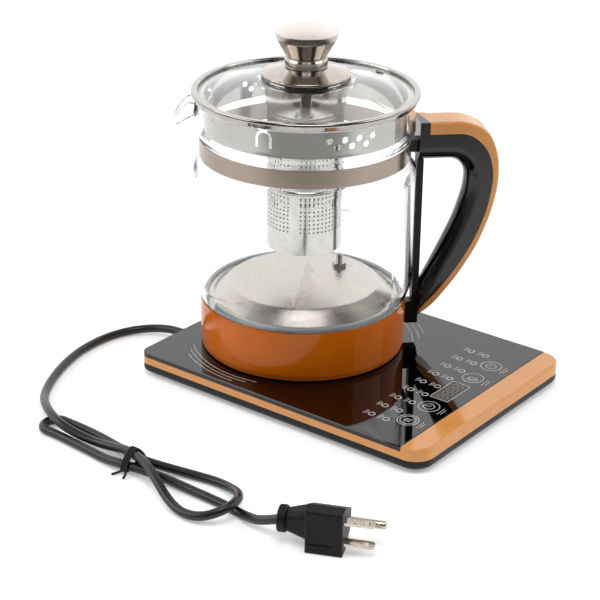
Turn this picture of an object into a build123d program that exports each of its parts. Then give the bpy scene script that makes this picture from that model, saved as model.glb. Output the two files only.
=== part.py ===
from build123d import *
from math import atan2, cos, degrees, pi, radians, sin, tan
import os

# Glass electric jug with lid and tea infuser, standing on its touch-control power base.
# Origin: centre of the base's footprint, at the level of the feet. +X runs along the base to its
# control strip, +Z is up. Lengths are in millimetres.

# Power base
base_length = 215.0
base_width = 161.0
corner_jug_end = 6.0
corner_strip_end = 13.0
foot_height = 2.0
tray_height = 6.3
trim_height = 4.6
panel_thick = 3.1
strip_width = 14.4
wall = 2.2
floor_thick = 2.0
tray_edge = 3.6
ledge = 6.0
ease = 0.8
foot_r = 7.0
foot_inset = 17.0
foot_recess = 0.8
jug_margin = 2.8

# Screws and the bosses that take them
screw_r = 1.2
screw_head_r = 2.4
screw_head_h = 1.2
boss_r = 3.0
boss_inset = 6.6
screw_clear = 0.15
base_screw_long = 6.0
cover_screw_long = 7.0

# Coupler between base and jug
coupler_r = 17.0
coupler_flange_r = 22.0
coupler_rise = 9.0
groove_depth = 13.0
groove_width = 2.6
inner_groove_r = 5.8
outer_groove_r = 10.8
pin_r = 1.8
pin_gap = 0.8
contact_thick = 0.6
contact_height = 6.0
prong_thick = 1.0
prong_gap = 0.5
coupler_clear = 1.6
coupler_wall = 2.9
coupler_headroom = 2.0

# Control and power electronics
board_thick = 1.6
board_margin = 8.0
key_inset = 15.3
key_ys = (41.0, 20.0, -28.6, -50.6)
key_r = 5.0
lamp_insets = (36.5, 26.1)
lamp_count = 9
lamp_pitch = 13.6
lamp_centre_y = -3.2
lamp_size = 2.6
lamp_height = 1.2
display_length = 25.4
display_width = 11.6
display_y = -4.2
display_height = 2.6
power_gap = 9.5
power_board_width = 104.0
relay_size = (12.0, 24.0, 4.6)
coil_r = 7.0
coil_height = 4.4
capacitor_r = 2.3
capacitor_length = 16.0

# Jug
jug_foot = 1.0
jug_foot_width = 4.0
skirt_r = 65.2
skirt_wall = 2.2
skirt_height = 31.7
skirt_edge = 1.0
ledge_depth = 1.6
cover_thick = 2.0
seal_thick = 1.6
glass_bulge = 3.8
glass_wall = 2.4
glass_foot_step = 0.3
glass_curve = 12.0
body_height = 85.0
neck_depth = 4.4
shoulder_rise = 7.5
neck_height = 13.0
mouth_depth = 1.5
mouth_rise = 4.5
mouth_height = 19.4
handle_turn = 45.0
spout_root = (0.5, 1.6)
spout_tip = (11.5, 12.2)
spout_root_r = 8.9
spout_tip_r = 4.5
lip_centre = (-4.5, 15.4)
lip_arc_r = 17.6
spout_wall = 2.0

# Heating plate and what hangs under it
plate_thick = 1.0
plate_rise = 8.5
plate_slope = 10.0
plate_flange = 3.0
flange_gap = 3.0
spreader_thick = 3.0
element_inset = 7.5
element_tube_r = 3.2
element_gap_deg = 40.0
element_pin_r = 1.5
element_pin_long = 8.0
cutout_r = 7.0
cutout_height = 6.0
cutout_place_r = 18.0
probe_r = 2.0
probe_place_r = 32.0
probe_turn = 81.0
probe_height = 9.0
nut_flats = 8.0
nut_height = 2.4

# Neck band and handle
band_thick = 0.6
band_height = 11.1
band_low = 0.9
fit_gap = 0.05
strut_gap = 0.7
strut_depth = 4.2
strut_width = 8.0
foot_low = 9.0
foot_tall = 15.0
handle_width = 21.0
grip_round = 9.8
cover_round = 1.8
arm_under = 5.1
split_over = 0.1
arm_over = 7.8
block_long = 7.0
tongue_width = 7.0
tongue_tall = 8.0
tongue_long = 10.6
tongue_end = 2.3
tongue_screw_long = 12.0
cap_thick = 1.6
cap_reach = 4.7

# Lid
lid_over = 2.5
lid_taper = 1.3
lid_rim_lip = 4.0
lid_plate_inset = 3.2
lid_plate_thick = 3.0
lid_dome = 9.2
lid_hole_r = 26.2
ring_wall = 0.7
ring_flange = 1.0
ring_land = 3.4
ring_gauge = 0.6
lid_gap = 3.1
sheet = 0.6
lid_skirt_depth = 18.4
hole_r = 2.1
hole_step_deg = 8.7
hole_upper = 10.6
hole_row_gap = 4.2
hole_turn = -26.7
arch_turn = 49.0
arch_width = 10.5
arch_height = 11.0
arch_slot = 1.8
arch_low = 5.0
vent_inset = 15.6
vent_turn = 72.0
vent_hole_r = 1.8
vent_flange_r = 4.0

# Infuser and knob
infuser_gap = 0.3
infuser_r = 23.5
infuser_long = 89.0
collar_tall = 19.8
bead_up = 40.0
bead_out = 0.7
knob_flange_r = 27.3
knob_flange_h = 4.9
knob_edge = 1.2
knob_neck_r = 13.0
knob_neck_h = 6.2
knob_waist_r = 12.0
knob_cup_h = 15.5
knob_top_r = 19.4
knob_dome = 3.0
knob_screw_r = 2.0

# Mains cord, its tie and plug
cord_r = 2.7
exit_y = -29.0
relief_length = 8.0
relief_root_r = 4.2
relief_tip_r = 3.3
tie_r = 0.6
plug_turn = 24.0
plug_face = (119.7, -170.3)
plug_tall = 25.6
plug_rear_tall = 22.0
plug_deep = 23.0
plug_length = 20.5
plug_neck_length = 11.8
plug_collar_length = 5.0
plug_collar_r = 7.6
blade_spacing = 12.7
ground_offset = 11.9
blade_inset = 6.2
blade_length = 16.5
blade_width = 6.35
blade_thick = 1.5
ground_r = 2.38
ground_length = 20.6
root_depth = 6.0

# Levels and places that follow
tray_z = foot_height
inside_z = tray_z + floor_thick
trim_z = tray_z + tray_height
panel_z = trim_z + trim_height
top_z = panel_z + panel_thick
exit_z = inside_z + cord_r + 0.2
jug_x = -base_length / 2 + jug_margin + skirt_r
strip_x = base_length / 2 - strip_width
key_x = strip_x - key_inset
lamp_rows_x = [strip_x - inset for inset in lamp_insets]
seat_gap = 0.3
skirt_low = top_z + jug_foot
skirt_top = skirt_low + skirt_height
glass_low = skirt_top + seat_gap
shoulder_z = glass_low + body_height
neck_low = shoulder_z + shoulder_rise
neck_top = neck_low + neck_height
mouth_low = neck_top + mouth_rise
rim_z = mouth_low + mouth_height
band_z = neck_low + band_low
skirt_in = skirt_r - skirt_wall
glass_r = skirt_r + glass_bulge
glass_foot_r = skirt_r - glass_foot_step
neck_r = glass_r - neck_depth
mouth_r = glass_r - mouth_depth
flange_r = skirt_in - flange_gap
plate_foot_r = flange_r - plate_flange
plate_flat_r = plate_foot_r - plate_slope
lid_r = mouth_r + lid_over
lid_low_r = lid_r - lid_taper
lid_plate_r = lid_r - lid_plate_inset
vent_r = lid_r - vent_inset
arm_low = neck_low - top_z - arm_under
arm_split = neck_top - top_z + split_over
arm_top = neck_top - top_z + arm_over
block_end_r = glass_r + block_long

nodes = {}


def disc(radius, height, low, x=0.0, y=0.0):
    return Pos(x, y, low + height / 2) * Cylinder(radius, height)


def tube(outer, inner, height, low, x=0.0, y=0.0):
    return disc(outer, height, low, x, y) - disc(inner, height, low, x, y)


def turned(points, radii=None):
    if radii is None:
        outline = Polyline(*points, close=True)
    else:
        outline = FilletPolyline(*points, radius=radii, close=True)
    return Pos(jug_x, 0, 0) * revolve(Plane.XZ * make_face(outline), Axis.Z)


def around(angle, shape):
    return Pos(jug_x, 0, 0) * Rot(0, 0, angle) * shape


def plan(inset):
    plate = Rectangle(base_length - 2 * inset, base_width - 2 * inset)
    left = plate.vertices().group_by(Axis.X)[0]
    plate = fillet(left, max(corner_jug_end - inset, ease))
    right = plate.vertices().group_by(Axis.X)[-1]
    return fillet(right, max(corner_strip_end - inset, ease))


def slab(inset, low, height):
    return Pos(0, 0, low) * extrude(plan(inset), height)


def screw(length, head_r=screw_head_r, head_h=screw_head_h):
    # Head on top of the plane z = 0, shank below it
    head = Pos(0, 0, head_h / 2) * Cylinder(head_r, head_h)
    shank = Pos(0, 0, -length / 2) * Cylinder(screw_r, length)
    slot = Pos(0, 0, head_h) * (Box(head_r * 1.2, 0.5, head_h) + Box(0.5, head_r * 1.2, head_h))
    return head + shank - slot


def corner_radii(points):
    radii = []
    for a, b, c in zip(points, points[1:], points[2:]):
        before = Vector(*b) - Vector(*a)
        after = Vector(*c) - Vector(*b)
        half = radians(before.get_angle(after)) / 2
        radii.append(0.45 * min(before.length, after.length) / tan(half))
    return radii


def smooth(points):
    return FilletPolyline(*points, radius=corner_radii(points))


# Power base
side_x = base_length / 2 - boss_inset - corner_strip_end
side_y = base_width / 2 - boss_inset
boss_places = [(x, y) for x in (-side_x, 0.0, side_x) for y in (-side_y, side_y)]
foot_x = base_length / 2 - foot_inset
foot_y = base_width / 2 - foot_inset
foot_places = [(0.0, 0.0)] + [(x, y) for x in (-foot_x, foot_x) for y in (-foot_y, foot_y)]
board_high = panel_z - lamp_height - 2.0 - board_thick
board_x0 = lamp_rows_x[0] - board_margin
board_x1 = strip_x - ledge - 1.0
board_y0 = key_ys[-1] - key_r - 1.5 * board_margin
board_y1 = key_ys[0] + key_r + 1.5 * board_margin
board_posts = [(x, y) for x in (board_x0 + 3, board_x1 - 3) for y in (board_y0 + 3, board_y1 - 3)]
power_low = inside_z + 2.0
power_x0 = jug_x + coupler_r + power_gap
power_x1 = board_x0 - power_gap
power_board_length = power_x1 - power_x0
power_board_x = (power_x0 + power_x1) / 2
power_posts = [
    (power_board_x + sx * (power_board_length / 2 - 4), sy * (power_board_width / 2 - 4))
    for sx in (-1, 1)
    for sy in (-1, 1)
]
coupler_bolt_r = (coupler_r + coupler_flange_r) / 2
coupler_bolts = [
    (jug_x + coupler_bolt_r * cos(radians(a)), coupler_bolt_r * sin(radians(a))) for a in (90, 210, 330)
]
clamp_x = -base_length / 2 + 16.0
clamp_half = 9.0
clamp_depth = 7.0
clamp_height = 2.4


def tray():
    body = slab(0, tray_z, tray_height)
    body = fillet(body.faces().sort_by(Axis.Z)[0].edges(), tray_edge)
    body -= slab(wall, inside_z, tray_height)
    for x, y in boss_places:
        body -= disc(screw_r + screw_clear, floor_thick, tray_z, x, y)
        body -= disc(screw_head_r + screw_clear, screw_head_h, tray_z, x, y)
    for x, y in foot_places:
        body -= disc(foot_r + fit_gap, foot_recess, tray_z, x, y)
    for x, y in board_posts:
        body += tube(boss_r, screw_r + fit_gap, board_high - inside_z, inside_z, x, y)
    for x, y in power_posts:
        body += tube(boss_r, screw_r + fit_gap, power_low - inside_z, inside_z, x, y)
    for x, y in coupler_bolts:
        body -= disc(screw_r + fit_gap, floor_thick - 0.4, inside_z - floor_thick + 0.4, x, y)
    for side in (-1, 1):
        y = exit_y + side * (clamp_half - 2.6)
        body += tube(2.4, screw_r + fit_gap, exit_z + 1.2 - inside_z, inside_z, clamp_x, y)
    return body - relief_space()


def relief_space():
    along = Pos(-base_length / 2, exit_y, exit_z) * Rot(0, 90, 0)
    return along * (Cylinder(relief_root_r + fit_gap, 4 * wall + 2 * ledge))


def trim():
    ring = slab(0, trim_z, trim_height) - slab(ledge, trim_z, trim_height)
    strip = slab(0, panel_z, panel_thick) & Pos(strip_x + strip_width, 0, panel_z) * Box(
        2 * strip_width, base_width, 2 * panel_thick
    )
    edges = strip.faces().sort_by(Axis.Z)[-1].edges()
    strip = fillet(edges.filter_by(lambda e: e.center().X > strip_x + 0.1), 1.4)
    bar = Pos(strip_x, 0, trim_z + trim_height / 2) * Box(ledge, base_width - 2 * ledge, trim_height)
    body = ring + strip + bar
    for x, y in boss_places:
        body += disc(boss_r, panel_z - inside_z, inside_z, x, y)
        body -= disc(screw_r + fit_gap, panel_z - inside_z - 1.0, inside_z, x, y)
    return body - relief_space()


def panel():
    length = strip_x - 0.2 + base_length / 2
    cut = Pos(-base_length / 2 + length / 2, 0, top_z) * Box(length, base_width, 4 * panel_thick)
    body = slab(0, panel_z, panel_thick) & cut
    body = chamfer(body.faces().sort_by(Axis.Z)[-1].edges(), 0.5)
    return body - disc(coupler_r + 0.4, panel_thick, panel_z, jug_x)


nodes["base_tray"] = tray()
nodes["trim_frame"] = trim()
nodes["glass_panel"] = panel()
nodes["rubber_feet"] = Compound(
    [disc(foot_r, foot_height + foot_recess, 0.0, x, y) for x, y in foot_places]
)
nodes["base_screws"] = Compound(
    [Pos(x, y, tray_z + screw_head_h) * Rot(180, 0, 0) * screw(base_screw_long) for x, y in boss_places]
)

coupler_top = top_z + coupler_rise
groove_low = coupler_top - groove_depth


def socket():
    body = disc(coupler_r, coupler_top - inside_z, inside_z, jug_x)
    body = fillet(body.faces().sort_by(Axis.Z)[-1].edges(), 1.2)
    body += disc(coupler_flange_r, 2.0, inside_z, jug_x)
    body -= disc(pin_r + pin_gap, groove_depth, groove_low, jug_x)
    for r in (inner_groove_r, outer_groove_r):
        body -= tube(r + groove_width, r, groove_depth, groove_low, jug_x)
    for x, y in coupler_bolts:
        body -= disc(screw_r + screw_clear, 2.0, inside_z, x, y)
    return body


nodes["coupler_socket"] = socket()
contacts = [tube(pin_r + pin_gap, pin_r + pin_gap / 2, contact_height, groove_low, jug_x)]
for groove_r in (inner_groove_r, outer_groove_r):
    outer = groove_r + groove_width
    contacts.append(tube(outer, outer - contact_thick, contact_height, groove_low, jug_x))
nodes["coupler_contacts"] = Compound(contacts)
nodes["coupler_screws"] = Compound([Pos(x, y, inside_z + 2.0) * screw(3.4) for x, y in coupler_bolts])

# Boards under the glass
board_size = (board_x1 - board_x0, board_y1 - board_y0)
board_mid = ((board_x0 + board_x1) / 2, (board_y0 + board_y1) / 2)
board_top = board_high + board_thick


def board(size, middle, low, posts):
    body = Pos(*middle, low + board_thick / 2) * Box(*size, board_thick)
    for x, y in posts:
        body -= disc(screw_r + screw_clear, board_thick, low, x, y)
    return body


nodes["control_board"] = board(board_size, board_mid, board_high, board_posts)
nodes["touch_springs"] = Compound([disc(key_r, panel_z - board_top, board_top, key_x, y) for y in key_ys])
lamps = []
for lamp_x in lamp_rows_x:
    for i in range(lamp_count):
        y = lamp_centre_y + (i - (lamp_count - 1) / 2) * lamp_pitch
        lamps.append(Pos(lamp_x, y, board_top + lamp_height / 2) * Box(lamp_size, lamp_size, lamp_height))
nodes["indicator_lamps"] = Compound(lamps)
nodes["display_module"] = Pos(key_x, display_y, board_top + display_height / 2) * Box(
    display_width, display_length, display_height
)
power_top = power_low + board_thick
relay_x = power_board_x - 0.23 * power_board_length
coil_x = power_board_x + 0.19 * power_board_length
nodes["power_board"] = board(
    (power_board_length, power_board_width), (power_board_x, 0.0), power_low, power_posts
)
nodes["power_relay"] = Pos(relay_x, 24, power_top + relay_size[2] / 2) * Box(*relay_size)
nodes["supply_coil"] = disc(coil_r, coil_height, power_top, coil_x, 4) - disc(
    coil_r / 3, coil_height / 2, power_top + coil_height / 2, coil_x, 4
)
nodes["filter_capacitors"] = Compound(
    [
        Pos(coil_x - 2, y, power_top + capacitor_r) * Rot(0, 90, 0) * Cylinder(capacitor_r, capacitor_length)
        for y in (-14.0, -22.0)
    ]
)
nodes["buzzer"] = tube(5.0, 1.0, 2.6, board_top, board_x1 - 11, board_y0 + 7.2)
nodes["board_screws"] = Compound(
    [Pos(x, y, board_top) * screw(3.0, 2.2, 1.0) for x, y in board_posts]
    + [Pos(x, y, power_top) * screw(3.0, 2.2, 1.0) for x, y in power_posts]
)

# Jug coupler, rides up with the jug
cup_r = coupler_r + coupler_clear
cup_outer = cup_r + coupler_wall
cover_low = top_z + jug_foot
cover_top = cover_low + cover_thick
coupler_roof = coupler_top + coupler_headroom
coupler_profile = [
    (0, coupler_roof),
    (cup_r, coupler_roof),
    (cup_r, cover_low + seat_gap),
    (cup_outer, cover_low + seat_gap),
    (cup_outer, cover_top),
    (cup_outer + 2.5, cover_top),
    (cup_outer + 2.5, cover_top + 2.0),
    (cup_outer, cover_top + 2.0),
    (cup_outer, coupler_roof + 3.0),
    (0, coupler_roof + 3.0),
]
nodes["jug_coupler"] = turned(coupler_profile)
prong_low = groove_low + contact_height / 2
prongs = [disc(pin_r, coupler_roof - prong_low, prong_low, jug_x)]
for groove_r in (inner_groove_r, outer_groove_r):
    inner = groove_r + prong_gap
    prongs.append(tube(inner + prong_thick, inner, coupler_roof - prong_low, prong_low, jug_x))
nodes["jug_contacts"] = Compound(prongs)

# Jug base: skirt, cover, seal and heating plate
post_r = 3.2
post_place_r = skirt_in - post_r + 0.6
post_turns = (handle_turn, handle_turn + 120, handle_turn + 240)
ledge_top = skirt_top - 1.3
seal_in = flange_r - 1.0
seal_out = skirt_in + 0.5
foot_screw_z = top_z + foot_low + 6.5


def skirt():
    body = turned(
        [
            (skirt_in, skirt_low),
            (skirt_r - 0.6, skirt_low),
            (skirt_r, skirt_low + 3.0),
            (skirt_r, skirt_top),
            (seal_out + fit_gap, skirt_top),
            (seal_out + fit_gap, ledge_top),
            (seal_in - 1.0, ledge_top),
            (seal_in - 1.0, ledge_top - ledge_depth),
            (skirt_in, ledge_top - ledge_depth),
        ]
    )
    for turn in post_turns:
        body += around(turn, disc(post_r, ledge_top - cover_top, cover_top, post_place_r))
        body -= around(turn, disc(screw_r + fit_gap, 9.0, cover_top, post_place_r))
    across = Pos(skirt_r, 0, foot_screw_z) * Rot(0, 90, 0)
    return body - around(handle_turn, across * Cylinder(screw_r + fit_gap, 2 * (skirt_wall + post_r)))


nodes["jug_skirt"] = skirt()


def base_cover():
    body = disc(skirt_in - 0.2, cover_thick, cover_low, jug_x)
    ring_r = skirt_in - 3.0
    body += tube(ring_r, ring_r - jug_foot_width, jug_foot, top_z, jug_x)
    body -= disc(cup_outer + seat_gap, 2 * cover_thick + jug_foot, top_z, jug_x)
    for turn in post_turns:
        body -= around(turn, disc(screw_r + screw_clear, 2 * cover_thick, top_z, post_place_r))
        body -= around(turn, disc(screw_head_r + screw_clear, screw_head_h + jug_foot, top_z, post_place_r))
    return body


nodes["jug_base_cover"] = base_cover()
cover_screw = Pos(post_place_r, 0, cover_low + screw_head_h) * Rot(180, 0, 0) * screw(cover_screw_long)
nodes["cover_screws"] = Compound([around(turn, cover_screw) for turn in post_turns])
seal_top = ledge_top + seal_thick
glass_foot_in = glass_foot_r - glass_wall
nodes["plate_seal"] = turned(
    [
        (seal_in, ledge_top),
        (seal_out, ledge_top),
        (seal_out, seal_top),
        (glass_foot_in - 0.1, seal_top),
        (glass_foot_in - 0.1, seal_top + 2.4),
        (flange_r + 0.1, seal_top + 2.4),
        (flange_r + 0.1, seal_top),
        (seal_in, seal_top),
    ]
)
plate_z = seal_top + plate_rise
plate_profile = [
    (0, plate_z),
    (plate_flat_r, plate_z),
    (plate_foot_r, seal_top + plate_thick),
    (flange_r, seal_top + plate_thick),
    (flange_r, seal_top),
    (plate_foot_r - plate_thick, seal_top),
    (plate_flat_r - plate_thick, plate_z - plate_thick),
    (0, plate_z - plate_thick),
]
probe_axis = around(probe_turn, Pos(probe_place_r, 0, 0))
probe_hole = probe_axis * disc(probe_r + fit_gap, 40.0, plate_z - 20.0)
nodes["heating_plate"] = turned(plate_profile, [0, 3.0, 1.6, 0.3, 0.3, 1.0, 2.4, 0]) - probe_hole
spreader_r = plate_flat_r - 3.5
spreader_low = plate_z - plate_thick - spreader_thick
nodes["heat_spreader"] = disc(spreader_r, spreader_thick, spreader_low, jug_x) - probe_hole
element_r = spreader_r - element_inset
element_z = spreader_low - element_tube_r


def element():
    sweep_deg = 360.0 - element_gap_deg
    ring = Pos(0, 0, element_z) * Rot(0, 0, element_gap_deg / 2) * revolve(
        Plane.XZ * (Pos(element_r, 0) * Circle(element_tube_r)), Axis.Z, sweep_deg
    )
    body = ring
    for angle in (element_gap_deg / 2, -element_gap_deg / 2):
        pin = disc(element_pin_r, element_pin_long, element_z - element_pin_long, element_r)
        body += Rot(0, 0, angle + (2.0 if angle > 0 else -2.0)) * pin
    return around(probe_turn, body)


nodes["heating_element"] = element()
nodes["thermal_cutouts"] = Compound(
    [
        around(turn, disc(cutout_r, cutout_height, spreader_low - cutout_height, cutout_place_r))
        for turn in (handle_turn, handle_turn + 180)
    ]
)
probe_low = spreader_low - 6.0
probe_top = plate_z + probe_height


def probe():
    body = disc(probe_r, probe_top - probe_low, probe_low)
    body = fillet(body.faces().sort_by(Axis.Z)[-1].edges(), probe_r * 0.8)
    return probe_axis * body


nodes["temp_probe"] = probe()
hexagon = extrude(RegularPolygon(nut_flats / 2, 6, major_radius=False), nut_height)
nodes["probe_nut"] = probe_axis * (
    Pos(0, 0, plate_z) * hexagon - disc(probe_r + fit_gap, nut_height, plate_z)
)

# Glass jug with its drawn-out pouring lip

def glass_wall_profile(offset):
    return [
        (glass_foot_r - offset, glass_low),
        (glass_r - offset, glass_low + glass_curve),
        (glass_r - offset, shoulder_z),
        (neck_r - offset, neck_low),
        (neck_r - offset, neck_top),
        (mouth_r - offset, mouth_low),
        (mouth_r - offset, rim_z),
    ]


def beak(offset):
    # Tapering round channel from inside the mouth out and down to the lip
    root = Vector(mouth_r + spout_root[0], 0, rim_z - spout_root[1])
    tip = Vector(mouth_r + spout_tip[0], 0, rim_z - spout_tip[1])
    run = tip - root
    taper = (spout_root_r - spout_tip_r) / run.length
    back = spout_root_r * 1.2
    ahead = spout_tip_r * 1.6
    whole = run.length + back + ahead
    cone = Cone(
        spout_root_r + taper * back - offset,
        spout_tip_r - taper * ahead - offset,
        whole,
        align=(Align.CENTER, Align.CENTER, Align.MIN),
    )
    return Plane(root - run.normalized() * back, x_dir=(0, 1, 0), z_dir=run) * cone


def jug_glass():
    outer = glass_wall_profile(0.0)
    inner = glass_wall_profile(glass_wall)
    bends = [0.8, 14.0, 8.0, 3.0, 3.0, 4.0, 0.9]
    body = turned(outer + inner[::-1], bends + bends[::-1])
    arc_place = Pos(mouth_r + lip_centre[0], 0, rim_z - lip_centre[1])
    bound = arc_place * Rot(90, 0, 0) * Cylinder(lip_arc_r, 6 * spout_root_r)
    above = Pos(mouth_r, 0, rim_z + 20) * Box(80, 80, 40)
    mouth = disc(mouth_r - glass_wall / 2, 2 * mouth_height, mouth_low)
    lip = (beak(0.0) & bound) - above - mouth
    hollow = beak(spout_wall)
    body += around(handle_turn + 180, lip)
    body -= around(handle_turn + 180, hollow)
    return body


nodes["glass_jug"] = jug_glass()

# Band round the neck, with the bracket that ties the handle to it
nodes["neck_band"] = turned(
    [
        (neck_r + fit_gap, band_z),
        (neck_r + fit_gap + band_thick, band_z),
        (neck_r + fit_gap + band_thick, band_z + band_height),
        (neck_r + fit_gap, band_z + band_height),
    ]
)
band_out = neck_r + 2 * fit_gap + band_thick
strut_in = glass_r + strut_gap
strut_out = strut_in + strut_depth
tongue_z = top_z + arm_low + (arm_split - arm_low) / 2
shaft_x = strut_in + tongue_long - tongue_end


def bracket():
    block_x = (band_out + strut_in) / 2 - 1
    block = Pos(block_x, 0, tongue_z) * Box(strut_in - band_out + 2, strut_width, tongue_tall)
    block -= disc(band_out, 2 * tongue_tall, tongue_z - tongue_tall)
    tongue = Pos(strut_in + tongue_long / 2, 0, tongue_z) * Box(tongue_long, tongue_width, tongue_tall)
    hole = disc(screw_r + screw_clear, 2 * tongue_tall, tongue_z - tongue_tall, shaft_x)
    return around(handle_turn, block + tongue - hole)


nodes["band_bracket"] = bracket()

# Handle: points are distance from the jug's axis and height over the panel
tail_r = glass_r + 1.0
outer_line = [
    (block_end_r, arm_top),
    (glass_r + 30.0, arm_top),
    (glass_r + 44.5, arm_top - 6.5),
    (glass_r + 51.2, arm_low + 3.6),
    (glass_r + 52.2, arm_low * 0.88),
    (glass_r + 48.5, arm_low * 0.714),
    (glass_r + 40.0, arm_low * 0.519),
    (glass_r + 26.5, arm_low * 0.336),
    (glass_r + 12.5, arm_low * 0.191),
    (tail_r, foot_low + 6.0),
]
split_line = [
    (block_end_r, arm_split),
    (glass_r + 32.5, arm_split),
    (glass_r + 44.5, arm_split - 11.1),
    (glass_r + 48.6, arm_low * 0.922),
    (glass_r + 45.5, arm_low * 0.731),
    (glass_r + 37.0, arm_low * 0.544),
    (glass_r + 23.5, arm_low * 0.357),
    (tail_r, foot_low + 7.6),
]
inner_line = [
    (strut_in, arm_low),
    (glass_r + 25.0, arm_low),
    (glass_r + 31.4, arm_low * 0.9385),
    (glass_r + 31.2, arm_low * 0.839),
    (glass_r + 26.0, arm_low * 0.681),
    (glass_r + 17.0, arm_low * 0.511),
    (tail_r, foot_low + 19.0),
]


def handle_section(edges):
    # Section drawn in the handle's own plane, thickened both ways
    return extrude(Plane.XZ * make_face(edges), handle_width / 2, both=True)


def side_edges(body, line):
    path = Plane.XZ * line
    found = []
    for edge in body.edges():
        spot = edge.position_at(0.5)
        if abs(abs(spot.Y) - handle_width / 2) < 0.01 and path.distance_to(Vertex(spot.X, 0, spot.Z)) < 0.02:
            found.append(edge)
    return found


def strut_space():
    high = arm_low - 0.01
    return Pos(strut_out / 2, 0, high / 2) * Box(strut_out, 2 * handle_width, high)


def cap():
    # Corner of the cover that lies over the grip's end, cut on a slant
    half = handle_width / 2
    corner = Polyline((block_end_r, -half), (block_end_r, half), (block_end_r - cap_reach, half), close=True)
    return Pos(0, 0, arm_top - cap_thick) * extrude(make_face(corner), cap_thick)


def grip():
    split = smooth(split_line)
    inside = smooth(inner_line)
    block = Polyline(inner_line[0], (strut_in, arm_top), (block_end_r, arm_top), split_line[0])
    body = handle_section([split, Line(split_line[-1], inner_line[-1]), inside, block])
    body = fillet(side_edges(body, inside), grip_round) - strut_space()
    pocket = Pos(strut_in + tongue_long / 2, 0, tongue_z - top_z) * Box(
        tongue_long + 2 * fit_gap, tongue_width + 2 * fit_gap, tongue_tall + 2 * fit_gap
    )
    shaft = disc(screw_r + screw_clear, arm_split - arm_low - 5.0, arm_low + 5.0, shaft_x)
    sink = disc(screw_head_r + screw_clear, screw_head_h, arm_split - screw_head_h, shaft_x)
    return around(handle_turn, Pos(0, 0, top_z) * (body - pocket - shaft - sink - cap()))


nodes["handle_grip"] = grip()


def cover():
    split = smooth(split_line)
    outside = smooth(outer_line)
    start = Line(split_line[0], outer_line[0])
    body = handle_section([split, start, outside, Line(outer_line[-1], split_line[-1])])
    body = fillet(side_edges(body, outside), cover_round) - strut_space()
    return around(handle_turn, Pos(0, 0, top_z) * (body + cap()))


nodes["handle_cover"] = cover()


def strut():
    low = top_z + foot_low
    tall = arm_low - foot_low
    bar = Pos(strut_in + strut_depth / 2, 0, low + tall / 2) * Box(strut_depth, strut_width, tall)
    foot = Pos((skirt_r + strut_out) / 2, 0, low + foot_tall / 2) * Box(
        strut_out - skirt_r + 1, strut_width, foot_tall
    )
    body = bar + (foot & tube(strut_out, skirt_r + fit_gap, foot_tall, low))
    across = Pos(strut_out - 3.0, 0, foot_screw_z) * Rot(0, 90, 0)
    body -= across * Cylinder(screw_r + screw_clear, 40.0)
    return around(handle_turn, body)


nodes["handle_strut"] = strut()
top_screw = Pos(shaft_x, 0, top_z + arm_split - screw_head_h) * screw(tongue_screw_long)
low_screw = Pos(strut_out, 0, foot_screw_z) * Rot(0, 90, 0) * screw(strut_out - skirt_in + 1.0)
nodes["handle_screws"] = Compound([around(handle_turn, top_screw), around(handle_turn, low_screw)])

# Lid
flange_top = rim_z + sheet
plate_top = flange_top + lid_plate_thick
skirt_out = mouth_r - glass_wall - lid_gap
lid_rim_in = lid_plate_r + 0.5
rim_low = rim_z + seat_gap
rim_top = plate_top + 1.4
nodes["lid_rim"] = turned(
    [
        (lid_rim_in, rim_low),
        (lid_low_r, rim_low),
        (lid_r, rim_top - 1.6),
        (lid_r - 0.4, rim_top),
        (lid_r - lid_rim_lip + 0.4, rim_top),
        (lid_r - lid_rim_lip, rim_top - 0.6),
        (lid_r - lid_rim_lip, plate_top),
        (lid_rim_in, plate_top),
    ],
    [0.3, 0.6, 0.9, 0.9, 0.4, 0.3, 0.1, 0.1],
)
dome_r0 = lid_r - lid_rim_lip - 1.0
dome_r1 = lid_hole_r + ring_flange + ring_land
slope_deg = degrees(atan2(lid_dome, dome_r0 - dome_r1))
vent_place = Pos(vent_r, 0, plate_top + (dome_r0 - vent_r) * tan(radians(slope_deg))) * Rot(0, slope_deg, 0)
lid_plate_profile = [
    (lid_hole_r, plate_top + lid_dome),
    (dome_r1, plate_top + lid_dome),
    (dome_r0, plate_top),
    (lid_plate_r, plate_top),
    (lid_plate_r, flange_top),
    (dome_r0, flange_top),
    (dome_r1, flange_top + lid_dome),
    (lid_hole_r, flange_top + lid_dome),
]
nodes["lid_glass"] = turned(lid_plate_profile, [0, 12.0, 4.0, 0.3, 0.3, 6.0, 10.0, 0]) - around(
    vent_turn, vent_place * Cylinder(vent_hole_r + ring_wall + fit_gap, 12.0)
)


def lid_skirt():
    low = rim_z - lid_skirt_depth
    body = turned(
        [
            (skirt_out - sheet, low),
            (skirt_out, low),
            (skirt_out, rim_z),
            (lid_plate_r + 0.3, rim_z),
            (lid_plate_r + 0.3, flange_top),
            (skirt_out - sheet, flange_top),
        ]
    )
    for side in (0, 180):
        for row, count in ((0, 4), (1, 3)):
            for i in range(count):
                turn = hole_turn + side + (i - (count - 1) / 2) * hole_step_deg
                z = low + hole_upper - row * hole_row_gap
                drill = Pos(skirt_out, 0, z) * Rot(0, 90, 0) * Cylinder(hole_r, 8.0)
                body -= around(turn, drill)
        for turn in (hole_turn + side - arch_turn, hole_turn + side + arch_turn):
            body -= around(turn, Pos(skirt_out, 0, low + arch_low) * Rot(0, 90, 0) * arch())
    return body


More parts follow.
